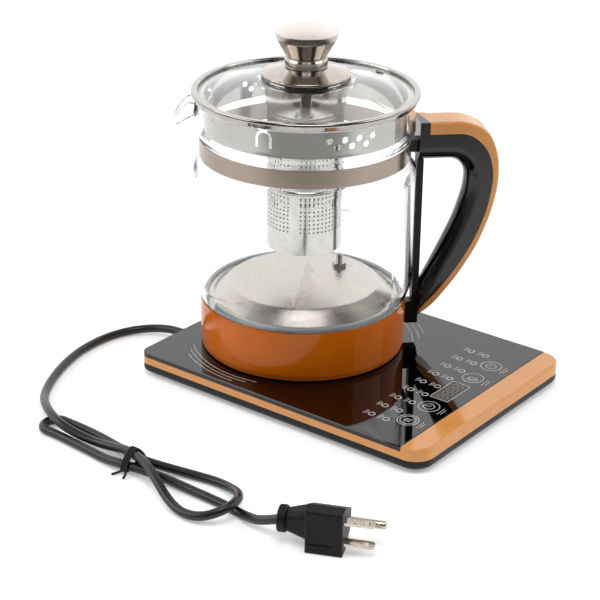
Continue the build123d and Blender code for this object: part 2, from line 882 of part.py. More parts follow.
def arch():
    # Inverted U slit round a spring tongue
    outer_r = arch_width / 2
    straight = arch_height - outer_r
    outside = Circle(outer_r) & Pos(-outer_r / 2, 0) * Rectangle(outer_r, 2 * outer_r)
    inside = Circle(outer_r - arch_slot) & Pos(-outer_r / 2, 0) * Rectangle(outer_r, 2 * outer_r)
    bend = Pos(-straight, 0) * (outside - inside)
    legs = Pos(-straight / 2, 0) * (
        Rectangle(straight, arch_width) - Rectangle(straight, arch_width - 2 * arch_slot)
    )
    return extrude(bend + legs, 4.0, both=True)


nodes["lid_skirt"] = lid_skirt()
ring_in = lid_hole_r - 0.1 - ring_wall
ring_low = flange_top + lid_dome
ring_high = plate_top + lid_dome
nodes["lid_ring"] = turned(
    [
        (ring_in, ring_low - ring_gauge),
        (lid_hole_r + ring_flange, ring_low - ring_gauge),
        (lid_hole_r + ring_flange, ring_low),
        (lid_hole_r - 0.1, ring_low),
        (lid_hole_r - 0.1, ring_high),
        (lid_hole_r + ring_flange, ring_high),
        (lid_hole_r + ring_flange, ring_high + ring_gauge),
        (ring_in, ring_high + ring_gauge),
    ]
)
eyelet = tube(vent_hole_r + ring_wall, vent_hole_r, lid_plate_thick + ring_gauge, -lid_plate_thick)
eyelet += tube(vent_flange_r, vent_hole_r, ring_gauge, 0.0)
nodes["vent_eyelet"] = around(vent_turn, vent_place * eyelet)

# Infuser basket and its knob
collar_r = ring_in - infuser_gap
seat_z = ring_high + ring_gauge
neck_z = seat_z - collar_tall
infuser_z = neck_z - infuser_long
bead_z = infuser_z + bead_up


def basket():
    outer = [
        (infuser_r, neck_z - 1.6),
        (infuser_r, bead_z + 1.2),
        (infuser_r + bead_out, bead_z),
        (infuser_r, bead_z - 1.2),
    ]
    profile = [
        (0, infuser_z),
        (infuser_r, infuser_z),
        *outer[::-1],
        (collar_r, neck_z),
        (collar_r, seat_z),
        (lid_hole_r + 0.8, seat_z),
        (lid_hole_r + 0.8, seat_z + sheet),
        (collar_r - sheet, seat_z + sheet),
        (collar_r - sheet, neck_z + 0.3),
        (infuser_r - sheet, neck_z - 1.3),
        (infuser_r - sheet, infuser_z + sheet),
        (0, infuser_z + sheet),
    ]
    body = turned(profile)
    low_rim = body.edges().filter_by(GeomType.CIRCLE).filter_by(
        lambda e: abs(e.center().Z - infuser_z) < 0.01 and abs(e.radius - infuser_r) < 0.01
    )
    return fillet(low_rim, sheet * 0.9)


nodes["infuser_basket"] = basket()
knob_z = seat_z + sheet
knob_neck_z = knob_z + knob_flange_h
knob_cup_z = knob_neck_z + knob_neck_h
knob_rim_z = knob_cup_z + knob_cup_h
hub_r = collar_r - sheet - 0.8
nodes["knob_flange"] = turned(
    [
        (screw_r + 1.0, knob_z + 2.0),
        (hub_r - 0.8, knob_z + 2.0),
        (hub_r - 0.8, knob_z - 4.0),
        (hub_r, knob_z - 4.0),
        (hub_r, knob_z),
        (knob_flange_r, knob_z),
        (knob_flange_r, knob_z + knob_edge),
        (knob_neck_r + 1.0, knob_neck_z),
        (screw_r + 1.0, knob_neck_z),
    ],
    [0, 0.3, 0.2, 0.2, 0.3, 0.4, 0.7, 0.4, 0],
)
nodes["lid_knob"] = turned(
    [
        (0, knob_neck_z + 12.0),
        (knob_screw_r + fit_gap, knob_neck_z + 12.0),
        (knob_screw_r + fit_gap, knob_neck_z),
        (knob_neck_r - 0.5, knob_neck_z),
        (knob_neck_r, knob_neck_z + 0.6),
        (knob_neck_r, knob_cup_z - 1.6),
        (knob_waist_r, knob_cup_z),
        (knob_top_r - 0.9, knob_rim_z - 4.2),
        (knob_top_r, knob_rim_z),
        (0, knob_rim_z),
    ],
    [0, 0, 0, 0.3, 0.3, 0.6, 0.6, 2.5, 0.3, 0],
)
dome_ball_r = (knob_top_r ** 2 + knob_dome ** 2) / (2 * knob_dome)
dome = Pos(jug_x, 0, knob_rim_z + knob_dome - dome_ball_r) * Sphere(dome_ball_r)
nodes["knob_top"] = dome & disc(knob_top_r, 2 * knob_dome, knob_rim_z, jug_x)
nodes["knob_screw"] = Pos(jug_x, 0, knob_z + 2.0) * Rot(180, 0, 0) * (
    Pos(0, 0, 0.8) * Cylinder(4.0, 1.6) + Pos(0, 0, -6.0) * Cylinder(screw_r + 0.6, 12.0)
)

# Strain relief and the clamp that holds the cord inside
relief_profile = [
    (0, -wall - 2.5),
    (relief_root_r, -wall - 2.5),
    (relief_root_r, 1.0),
    (relief_tip_r, relief_length),
    (0, relief_length),
]
relief = revolve(Plane.XZ * make_face(Polyline(*relief_profile, close=True)), Axis.Z)
for share in (0.4, 0.7):
    relief -= tube(2 * relief_root_r, relief_tip_r - 0.2, 0.8, relief_length * share)
nodes["cord_relief"] = Pos(-base_length / 2, exit_y, exit_z) * Rot(0, -90, 0) * relief
clamp_low = exit_z + 1.2


def clamp():
    body = Pos(clamp_x, exit_y, clamp_low + clamp_height / 2) * Box(clamp_depth, 2 * clamp_half, clamp_height)
    body -= Pos(clamp_x, exit_y, exit_z) * Rot(0, 90, 0) * Cylinder(cord_r + fit_gap, 2 * clamp_depth)
    for side in (-1, 1):
        y = exit_y + side * (clamp_half - 2.6)
        body -= disc(screw_r + screw_clear, 4 * clamp_height, exit_z, clamp_x, y)
    return body


nodes["cord_clamp"] = clamp()
nodes["clamp_screws"] = Compound(
    [
        Pos(clamp_x, exit_y + side * (clamp_half - 2.6), clamp_low + clamp_height) * screw(5.0, 2.0, 1.0)
        for side in (-1, 1)
    ]
)
inner_x0 = -base_length / 2 + wall + 2.5
nodes["cord_inner"] = Pos((inner_x0 + clamp_x + 8.0) / 2, exit_y, exit_z) * Rot(0, 90, 0) * Cylinder(
    cord_r, clamp_x + 8.0 - inner_x0
)

# Mains cord: free lead, tied hank and tail, on the table
rest_z = cord_r + 0.1
tied_z = cord_r + 2 * tie_r + 0.8
plug_axis = Vector(cos(radians(plug_turn)), sin(radians(plug_turn)), 0)
plug_side = Vector(-plug_axis.Y, plug_axis.X, 0)
plug_back = plug_length + plug_neck_length + plug_collar_length * 0.4
collar_end = Vector(*plug_face) - plug_axis * plug_back + plug_side * (plug_deep / 2 - blade_inset)
exit_x = -base_length / 2 - relief_length
lead_points = [
    (exit_x, exit_y, exit_z),
    (exit_x - 8.5, exit_y, exit_z),
    (exit_x - 21.5, exit_y - 2.0, 5.0),
    (-147.5, -37.4, 3.4),
    (-153.4, -46.4, rest_z),
    (-156.4, -58.0, rest_z),
    (-157.0, -71.0, rest_z),
    (-155.8, -85.0, rest_z),
    (-151.9, -100.0, rest_z),
    (-146.6, -114.0, rest_z),
    (-139.2, -129.5, rest_z),
    (-128.5, -145.5, 3.4),
]
hank_points = [
    (-128.5, -145.5, 3.4),
    (-114.5, -158.5, 7.8),
    (-100.5, -168.0, 10.0),
    (-87.0, -173.5, 9.6),
    (-76.0, -172.5, 6.6),
    (-62.5, -169.5, 4.4),
    (-48.5, -169.6, 5.6),
    (-36.0, -171.4, 8.8),
    (-23.5, -175.2, 10.6),
    (-10.5, -180.8, 11.0),
    (2.0, -187.4, 9.0),
    (16.5, -193.0, 4.4),
    (31.5, -197.0, rest_z),
    (46.0, -195.6, 4.6),
    (56.5, -188.0, 8.6),
    (57.5, -176.5, 9.8),
    (49.0, -166.5, 7.0),
    (36.5, -160.6, 3.8),
    (22.0, -158.8, rest_z),
    (6.5, -161.4, rest_z),
    (-9.0, -166.0, tied_z - 0.8),
    (-24.5, -169.4, tied_z),
    (-38.0, -166.4, tied_z - 0.6),
    (-52.0, -162.0, rest_z),
    (-66.0, -159.6, rest_z),
    (-82.0, -159.2, rest_z),
    (-98.1, -161.5, rest_z),
    (-102.1, -165.5, rest_z),
    (-102.1, -171.1, rest_z),
    (-98.1, -175.1, rest_z),
    (-85.0, -176.6, rest_z),
    (-70.0, -178.8, rest_z),
    (-57.0, -180.6, rest_z),
    (-46.0, -181.4, rest_z),
    (-33.0, -181.0, tied_z),
    (-19.5, -178.2, tied_z),
]
tail_points = [
    (-19.5, -178.2, tied_z),
    (-6.0, -175.8, tied_z - 0.8),
    (10.5, -175.0, rest_z),
    (28.0, -175.4, rest_z),
    (45.0, -176.2, rest_z),
    (59.0, -178.0, rest_z),
    (73.0, -182.0, 7.0),
    (collar_end.X, collar_end.Y, plug_tall / 2),
]


def middle(a, b):
    return tuple((p + q) / 2 for p, q in zip(a, b))


def swept_cord(name, points):
    radii = corner_radii(points)
    path = smooth(points)
    start = Plane(path @ 0, z_dir=path % 0)
    body = sweep(start * Circle(cord_r), path=path)
    share = body.volume / (pi * cord_r ** 2 * path.length)
    print(f"{name}: length {path.length:.1f}, least radius {min(radii):.1f}, volume share {share:.4f}")
    return body, path


# The three stretches share one line, cut at the middle of the runs where they meet
cut_a = middle(hank_points[0], hank_points[1])
cut_b = middle(tail_points[0], tail_points[1])
lead, lead_path = swept_cord("cord_lead", lead_points + [cut_a])
hank, hank_path = swept_cord("cord_hank", [cut_a] + hank_points[1:] + [cut_b])
tail, tail_path = swept_cord("cord_tail", [cut_b] + tail_points[1:])
nodes["cord_lead"] = lead
nodes["cord_hank"] = hank
nodes["cord_tail"] = tail
cord_length = lead_path.length + hank_path.length + tail_path.length
print(f"cord length from the relief to the plug: {cord_length:.0f}")


def least_self_gap(path, step=1.5, apart=16.0):
    count = int(path.length / step)
    spots = [path @ (i / count) for i in range(count + 1)]
    skip = int(apart / step)
    least = min(
        (spots[i] - spots[j]).length for i in range(len(spots)) for j in range(i + skip, len(spots))
    )
    return least - 2 * cord_r


print(f"cord_hank: least gap to itself {least_self_gap(hank_path):.2f}")

# Twist tie: two turns of wire round the bundle, its ends left sticking out in front
tie_x = -28.0
tie_pitch = 1.6
tie_low = tie_r + 0.2
tie_high = 10.4 + cord_r + tie_r + 0.5
tie_corners = [(-162.3, tie_low), (-169.4, tie_high), (-178.6, tie_high), (-186.6, tie_low)]
tie_points = [(tie_x - 3.0, -191.5, tie_low), (tie_x, -186.6, tie_low)]
for i in range(8):
    tie_points.append((tie_x + tie_pitch * (i + 1) / 4, *tie_corners[i % 4]))
tie_points.append((tie_x + 2 * tie_pitch + 1.6, -191.0, tie_low + 0.4))
tie_path = FilletPolyline(*tie_points, radius=[2.0] + [2.6] * 7 + [1.6])
nodes["twist_tie"] = sweep(Plane(tie_path @ 0, z_dir=tie_path % 0) * Circle(tie_r), path=tie_path)


def laid(shape):
    # Plug drawn along +X with its pin face at x = 0, then laid where it rests
    return Pos(plug_face[0], plug_face[1], plug_tall / 2) * Rot(0, 0, plug_turn) * shape


def plug_body():
    half = plug_tall / 2
    near = -blade_inset
    far = plug_deep - blade_inset
    outline = Polyline(
        (near, -half),
        (near + 9.0, -half),
        (far, -half * 0.42),
        (far, half * 0.42),
        (near + 9.0, half),
        (near, half),
        close=True,
    )
    block = extrude(Plane.YZ * make_face(outline), -plug_length)
    flare_deg = degrees(atan2((plug_tall - plug_rear_tall) / 2, plug_length))
    for side in (-1, 1):
        block -= Pos(0, 0, side * half) * Rot(0, side * flare_deg, 0) * Pos(0, 0, side * 10) * Box(90, 90, 20)
    block = fillet(block.edges().filter_by(lambda e: e.length > plug_length * 0.9), 1.2)
    block -= Pos(-plug_length * 0.58, near, 0) * Box(plug_length * 0.66, 1.0, plug_rear_tall * 0.66)
    axis_y = plug_deep / 2 - blade_inset
    back = -plug_length
    end = back - plug_neck_length
    backwards = Plane((0, axis_y, 0), x_dir=(0, 1, 0), z_dir=(-1, 0, 0))
    shoulder = backwards.offset(-back) * RectangleRounded(15.0, 17.5, 4.0)
    throat = backwards.offset(-end) * RectangleRounded(11.5, 12.0, 4.5)
    collar = Cylinder(plug_collar_r, plug_collar_length)
    collar = Pos(end - plug_collar_length / 2, axis_y, 0) * Rot(0, 90, 0) * collar
    collar = fillet(collar.edges().filter_by(GeomType.CIRCLE), 1.2)
    body = block + loft([shoulder, throat]) + collar
    for z in (-blade_spacing / 2, blade_spacing / 2):
        body -= Pos(-root_depth / 2, 0, z) * Box(root_depth, blade_width, blade_thick)
    return body - Pos(-root_depth / 2, ground_offset, 0) * Rot(0, 90, 0) * Cylinder(ground_r, root_depth)


def blade(z):
    whole = blade_length + root_depth
    body = Pos(whole / 2 - root_depth, 0, z) * Box(whole, blade_width, blade_thick)
    body = chamfer(body.edges().filter_by(Axis.Z).group_by(Axis.X)[-1], 1.4)
    return body - Pos(blade_length - 4.4, 0, z) * Cylinder(1.6, 2 * blade_thick)


nodes["plug_body"] = laid(plug_body()) - tail
nodes["plug_blades"] = Compound([laid(blade(z)) for z in (-blade_spacing / 2, blade_spacing / 2)])
ground = Pos((ground_length - root_depth) / 2, ground_offset, 0) * Rot(0, 90, 0) * Cylinder(
    ground_r, ground_length + root_depth
)
ground = fillet(ground.faces().sort_by(Axis.X)[-1].edges(), ground_r * 0.7)
nodes["plug_ground_pin"] = laid(ground)

os.makedirs("parts", exist_ok=True)
for name, shape in nodes.items():
    export_step(shape, f"parts/{name}.step")
print(len(nodes), "nodes")
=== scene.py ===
from math import atan2, cos, pi, radians, sin, sqrt

import bmesh
import bpy
from mathutils import Matrix, Vector


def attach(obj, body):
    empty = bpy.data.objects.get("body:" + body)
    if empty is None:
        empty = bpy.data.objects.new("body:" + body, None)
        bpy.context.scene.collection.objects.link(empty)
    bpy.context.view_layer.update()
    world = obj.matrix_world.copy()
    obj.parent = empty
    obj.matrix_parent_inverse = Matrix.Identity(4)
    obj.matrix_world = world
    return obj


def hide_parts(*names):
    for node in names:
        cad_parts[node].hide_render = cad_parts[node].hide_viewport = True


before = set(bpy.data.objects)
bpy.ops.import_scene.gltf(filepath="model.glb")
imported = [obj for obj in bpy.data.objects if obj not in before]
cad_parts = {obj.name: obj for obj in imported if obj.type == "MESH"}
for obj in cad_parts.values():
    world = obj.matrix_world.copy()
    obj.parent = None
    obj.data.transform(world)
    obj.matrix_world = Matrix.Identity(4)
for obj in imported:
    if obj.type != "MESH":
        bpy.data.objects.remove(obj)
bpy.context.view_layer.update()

mm = 0.001
scene = bpy.context.scene
scene.view_settings.view_transform = "Standard"
jugX = -39.5  # jug's axis, mm
topZ = 16.0  # face of the glass panel, mm
print("frame loaded:", len(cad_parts), "nodes")


def hexLinear(text):
    channels = [int(text[i:i + 2], 16) / 255 for i in (1, 3, 5)]
    return (*[c / 12.92 if c <= 0.04045 else ((c + 0.055) / 1.055) ** 2.4 for c in channels], 1.0)


def feed(tree, node, links):
    for socket, source in links.items():
        tree.links.new(source.outputs[0] if isinstance(source, bpy.types.Node) else source, node.inputs[socket])


def addNode(tree, kind, settings=None, links=None):
    node = tree.nodes.new(kind)
    for key, value in (settings or {}).items():
        if key == "stops":
            for stop, (place, colour) in zip(node.color_ramp.elements, value):
                stop.position, stop.color = place, hexLinear(colour)
        elif isinstance(key, int) or key in node.inputs:
            node.inputs[key].default_value = value
        else:
            setattr(node, key, value)
    feed(tree, node, links or {})
    return node


def newMaterial(name, settings):
    material = bpy.data.materials.new(name)
    material.use_nodes = True
    tree = material.node_tree
    shader = tree.nodes["Principled BSDF"]
    for key, value in settings.items():
        shader.inputs[key].default_value = value
    return material, tree, shader


def twoTone(dark, light):
    return {"stops": [(0.3, dark), (0.7, light)]}  # noise keeps mostly between these


# Materials: the sizes of their patterns are in mm

plasticSet = {"driftMm": 18, "grainBump": 0.25}


def mouldedPlastic(name, dark, light, roughLow, roughHigh, grainMm, depthMm, settings=None):
    # Colour drifts a little over centimetres, the mould's texture breaks the gloss
    material, tree, shader = newMaterial(name, settings or {})
    space = addNode(tree, "ShaderNodeTexCoord").outputs["Object"]
    driftScale, grainScale = 1 / (plasticSet["driftMm"] * mm), 1 / (grainMm * mm)
    drift = addNode(tree, "ShaderNodeTexNoise", {"Scale": driftScale, "Detail": 2.0}, {"Vector": space})
    grain = addNode(tree, "ShaderNodeTexNoise", {"Scale": grainScale, "Detail": 3.0}, {"Vector": space})
    ramp = addNode(tree, "ShaderNodeValToRGB", twoTone(dark, light), {"Fac": drift})
    rough = addNode(tree, "ShaderNodeMapRange", {"To Min": roughLow, "To Max": roughHigh}, {"Value": drift})
    relief = {"Strength": plasticSet["grainBump"], "Distance": depthMm * mm}
    bump = addNode(tree, "ShaderNodeBump", relief, {"Height": grain})
    feed(tree, shader, {"Base Color": ramp, "Roughness": rough, "Normal": bump})
    return material


# ABS from a spark-eroded mould: deep black with a soft sheen
satinBlack = mouldedPlastic(
    "satin black ABS, spark-eroded mould", "#08080a", "#0d0d0f", 0.34, 0.46, 0.5, 0.015, {"Specular IOR Level": 0.28},
)
# ABS from a polished mould: black that shows only what it reflects
glossBlack = mouldedPlastic("gloss black ABS, polished mould", "#030304", "#060607", 0.09, 0.15, 9.0, 0.01)
# Caramel ABS from a polished mould: warm body colour under sharp reflections
caramelGloss = mouldedPlastic(
    "caramel orange ABS, polished mould", "#c46007", "#cc670b", 0.08, 0.13, 12.0, 0.01, {"Specular IOR Level": 0.24},
)
# The jug's caramel plastic again, painted paler for trim and handle to stand in for the stronger light they catch:
# paler and duller than the jug's skirt
caramelPaintedLit = mouldedPlastic("pale caramel ABS, polished mould", "#d18d4a", "#d79451", 0.08, 0.13, 12.0, 0.01)
# Powder coat on pressed steel: black, with the faint orange peel of the coat
coatedSteel = mouldedPlastic("black powder coat on steel", "#08080a", "#0e0e10", 0.36, 0.46, 1.2, 0.03)
# Pressed rubber: dull and near black
matteRubber = mouldedPlastic("black rubber, pressed", "#080808", "#0f0f0f", 0.6, 0.75, 0.6, 0.03)
# Moulded silicone: soft blue-grey, hardly any shine
greySilicone = mouldedPlastic("grey silicone, moulded seal", "#c2c8cb", "#ccd1d4", 0.45, 0.55, 1.0, 0.01)
# Extruded PVC: black with a long soft highlight
cordJacket = mouldedPlastic("black PVC cord jacket, extruded", "#070707", "#0d0d0e", 0.3, 0.4, 1.5, 0.02)
# Overmoulded PVC: a touch rougher than the cord
plugPlastic = mouldedPlastic(
    "black PVC plug, overmoulded", "#080808", "#0d0d0d", 0.42, 0.52, 0.5, 0.03, {"Specular IOR Level": 0.22},
)
# Epoxy cases, laminate and lamp resin inside the base, seen only when it is opened
caseResin = mouldedPlastic("dark grey epoxy part case", "#1c2024", "#262b30", 0.45, 0.6, 0.8, 0.02)
boardGreen = mouldedPlastic("green solder-masked laminate", "#0d3a1c", "#134a26", 0.3, 0.45, 1.5, 0.02)
lampResin = mouldedPlastic("milky lamp resin, cast", "#dcdccb", "#efefe4", 0.2, 0.3, 2.0, 0.01)


metalSet = {"cloudMm": 25, "lineBump": 0.15}


def sheetMetal(name, dark, light, roughLow, roughHigh, grainMm, depthMm, stretch=(1, 1, 1)):
    # Fine lines run along the stretched directions, seen from the jug's axis
    material, tree, shader = newMaterial(name, {"Metallic": 1.0})
    space = addNode(tree, "ShaderNodeTexCoord").outputs["Object"]
    centred = {"vector_type": "TEXTURE", "Location": (jugX * mm, 0, 0), "Scale": stretch}
    turned = addNode(tree, "ShaderNodeMapping", centred, {"Vector": space})
    lineScale, cloudScale = 1 / (grainMm * mm), 1 / (metalSet["cloudMm"] * mm)
    lines = addNode(tree, "ShaderNodeTexNoise", {"Scale": lineScale, "Detail": 3.0}, {"Vector": turned})
    cloud = addNode(tree, "ShaderNodeTexNoise", {"Scale": cloudScale, "Detail": 1.0}, {"Vector": space})
    ramp = addNode(tree, "ShaderNodeValToRGB", twoTone(dark, light), {"Fac": lines})
    rough = addNode(tree, "ShaderNodeMapRange", {"To Min": roughLow, "To Max": roughHigh}, {"Value": cloud})
    relief = {"Strength": metalSet["lineBump"], "Distance": depthMm * mm}
    bump = addNode(tree, "ShaderNodeBump", relief, {"Height": lines})
    feed(tree, shader, {"Base Color": ramp, "Roughness": rough, "Normal": bump})
    return material


# Polished sheet: mirror with the faintest cloudiness
mirrorSteel = sheetMetal("stainless sheet, mirror polished", "#a8a5a2", "#b0adaa", 0.05, 0.1, 12.0, 0.002)
# Perforated sheet, electropolished after punching: paler than the lid's sheet and a little softer
sieveSteel = sheetMetal(
    "stainless sieve sheet, punched and electropolished", "#c6c3bf", "#cfccc8", 0.12, 0.18, 4.0, 0.002,
)
# Turned and buffed: soft mirror, warm
buffedSteel = sheetMetal("stainless knob, turned and buffed", "#aea69d", "#b8b0a7", 0.1, 0.16, 5.0, 0.002)
# Bead-blasted top: even satin
satinSteel = sheetMetal("stainless knob top, bead-blasted", "#d8d0c9", "#e0d9d2", 0.34, 0.42, 0.6, 0.006)
# Brushed along its length: lines drawn coarser than the real grit so that they show
bandSteel = sheetMetal("stainless band, brushed along", "#93877b", "#9f9387", 0.2, 0.25, 0.35, 0.002, (90, 90, 1))
# Spun plate: even and pale, soft reflections
plateSteel = sheetMetal("stainless heating plate, spun and blasted", "#bbb3ac", "#c0b9b2", 0.24, 0.31, 1.2, 0.001)
# Zinc plate on screws and cut-outs: duller and bluish
screwSteel = sheetMetal("zinc-plated steel", "#8f9194", "#b4b6b8", 0.25, 0.38, 0.8, 0.01)
# Nickel on pressed brass pins: bright and slightly yellow
pinNickel = sheetMetal("nickel-plated brass pin, pressed", "#b9b0a4", "#cfc6b9", 0.14, 0.22, 1.5, 0.01)
# Cast and tumbled aluminium: grey and dull
castAluminium = sheetMetal("cast aluminium, tumbled", "#9b9c9e", "#b7b8ba", 0.38, 0.5, 0.9, 0.02)
# Drawn brass springs and contacts: yellow and half bright
contactBrass = sheetMetal("drawn brass", "#a9813b", "#c49a4c", 0.2, 0.3, 0.6, 0.01)


glassSet = {"ior": 1.4, "waveBump": 0.05}  # the index is set low for the jug's faint outline


def clearGlass(name, tint, waveMm, depthMm):
    # Clear body, with the slow waves that blowing or pressing leaves
    body = {"Base Color": hexLinear(tint), "Transmission Weight": 1.0, "IOR": glassSet["ior"], "Roughness": 0.0}
    material, tree, shader = newMaterial(name, body)
    space = addNode(tree, "ShaderNodeTexCoord").outputs["Object"]
    waves = addNode(tree, "ShaderNodeTexNoise", {"Scale": 1 / (waveMm * mm), "Detail": 0.0}, {"Vector": space})
    relief = {"Strength": glassSet["waveBump"], "Distance": depthMm * mm}
    bump = addNode(tree, "ShaderNodeBump", relief, {"Height": waves})
    feed(tree, shader, {"Normal": bump})
    return material


# Blown tube with a melted edge: colourless, with long faint waves
jugGlass = clearGlass("borosilicate glass, blown and fire-polished", "#fdfefe", 70.0, 0.02)
# Pressed disc: as clear, and a breath greener
lidGlass = clearGlass("tempered lid glass, pressed", "#fbfdfd", 80.0, 0.02)

panelGlassSet = {"ior": 1.5, "wipedMm": 35, "rough": (0.0, 0.02)}


def backedGlass(name, dark, light):
    # Plate glass printed black behind: shows only a sharp reflection, duller where it was wiped
    material, tree, shader = newMaterial(name, {"IOR": panelGlassSet["ior"]})
    space = addNode(tree, "ShaderNodeTexCoord").outputs["Object"]
    wipedScale = 1 / (panelGlassSet["wipedMm"] * mm)
    wiped = addNode(tree, "ShaderNodeTexNoise", {"Scale": wipedScale, "Detail": 2.0}, {"Vector": space})
    ramp = addNode(tree, "ShaderNodeValToRGB", twoTone(dark, light), {"Fac": wiped})
    low, high = panelGlassSet["rough"]
    rough = addNode(tree, "ShaderNodeMapRange", {"To Min": low, "To Max": high}, {"Value": wiped})
    feed(tree, shader, {"Base Color": ramp, "Roughness": rough})
    return material


panelBlack = backedGlass("tempered panel glass, black print behind", "#020102", "#050304")

inkSet = {"meshMm": 0.8, "rough": 0.4}


def printedInk(name, thin, full):
    # Screen print, a little thinner where the mesh lay
    material, tree, shader = newMaterial(name, {"Roughness": inkSet["rough"]})
    space = addNode(tree, "ShaderNodeTexCoord").outputs["Object"]
    meshScale = 1 / (inkSet["meshMm"] * mm)
    mesh = addNode(tree, "ShaderNodeTexNoise", {"Scale": meshScale, "Detail": 2.0}, {"Vector": space})
    ramp = addNode(tree, "ShaderNodeValToRGB", twoTone(thin, full), {"Fac": mesh})
    feed(tree, shader, {"Base Color": ramp})
    return material


# White ink on black glass: bright marks, a little uneven
whiteInk = printedInk("white screen-print ink", "#c4c2c0", "#e4e2e0")
# Smoked window, barely lighter than the panel, and its unlit grey segments
smokeInk = printedInk("smoke grey display window", "#262322", "#322e2c")
segmentInk = printedInk("unlit display segments", "#7c746e", "#8d8580")
# Grey ink fired on the jug: pale enough to vanish at a glance
levelInk = printedInk("grey level print on glass", "#b8b8b8", "#c8c8c8")
print("materials made:", len(bpy.data.materials))


# Camera at the photograph's place

cameraSet = {
    "azimuth": 37.33,
    "elevation": 24.27,
    "roll": 0.77,
    "lens": 108.7,
    "sensor": 36.0,
    "clip": (0.05, 20.0),
    "place": (598.6, -839.9, 517.9),
}


def setCamera():
    az, el, roll = (radians(cameraSet[k]) for k in ("azimuth", "elevation", "roll"))
    ahead = Vector((-sin(az) * cos(el), cos(az) * cos(el), -sin(el)))
    flatRight = Vector((cos(az), sin(az), 0))
    right = flatRight * cos(roll) + flatRight.cross(ahead) * sin(roll)
    up = right.cross(ahead)
    lens = bpy.data.cameras.new("photoCamera")
    lens.lens = cameraSet["lens"]
    lens.sensor_width = cameraSet["sensor"]
    lens.clip_start, lens.clip_end = cameraSet["clip"]
    camera = bpy.data.objects.new("photoCamera", lens)
    turn = Matrix((right, up, -ahead)).transposed().to_4x4()
    camera.matrix_world = Matrix.Translation(Vector(cameraSet["place"]) * mm) @ turn
    scene.collection.objects.link(camera)
    scene.camera = camera


setCamera()


def link(name, mesh, material=None):
    piece = bpy.data.objects.new(name, mesh)
    scene.collection.objects.link(piece)
    if material:
        mesh.materials.clear()
        mesh.materials.append(material)
    return piece


def meshFrom(bm, name, smoothDeg=None):
    mesh = bpy.data.meshes.new(name)
    bm.to_mesh(mesh)
    bm.free()
    if smoothDeg:
        mesh.shade_smooth()
        mesh.set_sharp_from_angle(angle=radians(smoothDeg))
    return mesh


def hand(piece, body, slot, *nodes):
    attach(piece, body)
    if nodes:
        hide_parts(*nodes)


# Mains cord with its tied hank

cordSet = {
    "radius": 2.7,
    "length": 0.733,
    "roundSteps": 6,
    "runSteps": 10,
    "lead": [
        (-115.5, -29.0, 6.9), (-124.0, -29.0, 6.9), (-137.0, -31.0, 5.0), (-147.5, -37.4, 3.4),
        (-153.4, -46.4, 2.8), (-156.4, -58.0, 2.8), (-157.0, -71.0, 2.8), (-155.8, -85.0, 2.8),
        (-151.9, -100.0, 2.8), (-146.6, -114.0, 2.8), (-139.2, -129.5, 2.8), (-128.5, -145.5, 3.4),
    ],
    "hankOut": [
        (-114.5, -158.5, 7.8), (-100.5, -168.0, 10.0), (-87.0, -173.5, 9.6), (-76.0, -172.5, 6.6),
        (-62.5, -170.9, 4.8), (-48.5, -170.9, 6.0), (-36.0, -171.4, 8.8), (-23.5, -175.2, 10.6),
        (-10.5, -180.8, 11.0), (2.0, -187.4, 9.0),
        (16.0, -193.8, 4.4), (29.5, -197.6, 2.8), (42.5, -196.0, 4.6), (51.5, -188.2, 8.6), (52.0, -177.0, 9.8),
        (45.0, -167.0, 7.0), (34.5, -160.8, 3.8), (22.0, -158.8, 2.8), (6.5, -161.4, 2.8),
    ],
    "hankBack": [
        (-9.0, -166.0, 3.9), (-24.5, -169.4, 4.7), (-38.0, -166.8, 4.1), (-51.0, -163.8, 2.8), (-63.5, -161.9, 2.8),
        (-75.0, -160.9, 2.8), (-85.0, -160.6, 2.8), (-92.8, -160.6, 2.8), (-98.9, -160.6, 2.8), (-103.2, -165.0, 2.8),
        (-103.2, -171.4, 2.8), (-98.9, -175.8, 2.8), (-92.8, -175.8, 2.8), (-85.0, -175.9, 2.8), (-75.0, -176.7, 2.8),
        (-64.5, -177.5, 2.8), (-55.0, -178.4, 2.8), (-45.5, -179.4, 2.8), (-33.0, -180.4, 4.7), (-19.5, -178.2, 4.7),
    ],
    "tail": [
        (-6.0, -175.8, 3.9), (10.5, -175.0, 2.8), (28.0, -175.4, 2.8), (45.0, -176.2, 2.8), (59.0, -178.0, 2.8),
        (73.0, -182.0, 7.0), (86.2, -179.4, 12.8),
    ],
    "tieRadius": 0.7,
    "tieRoundSteps": 3,
    "tieX": -30.0,
    "tieStart": [(-2.6, -187.6, 0.9), (-0.4, -184.6, 0.9)],  # x from tieX
    "tieEnd": (1.4, -187.2, 1.2),  # x from the last turn
    "tiePitch": 1.7,
    "tieTurns": 3,
    "tieRing": [(-165.5, 1.2), (-165.5, 5.9), (-172.3, 13.6), (-175.5, 13.6), (-183.4, 6.2), (-183.4, 1.2)],
}


def nurbsTube(name, points, radius, material, ringSteps):
    curve = bpy.data.curves.new(name, "CURVE")
    curve.dimensions = "3D"
    curve.bevel_depth = radius * mm
    curve.bevel_resolution = ringSteps
    curve.resolution_u = cordSet["runSteps"]
    curve.use_fill_caps = True
    spline = curve.splines.new("NURBS")
    spline.points.add(len(points) - 1)
    for point, place in zip(spline.points, points):
        point.co = (*[c * mm for c in place], 1.0)
    spline.order_u = 3
    spline.use_endpoint_u = True
    curve.materials.append(material)
    piece = bpy.data.objects.new(name, curve)
    scene.collection.objects.link(piece)
    return piece


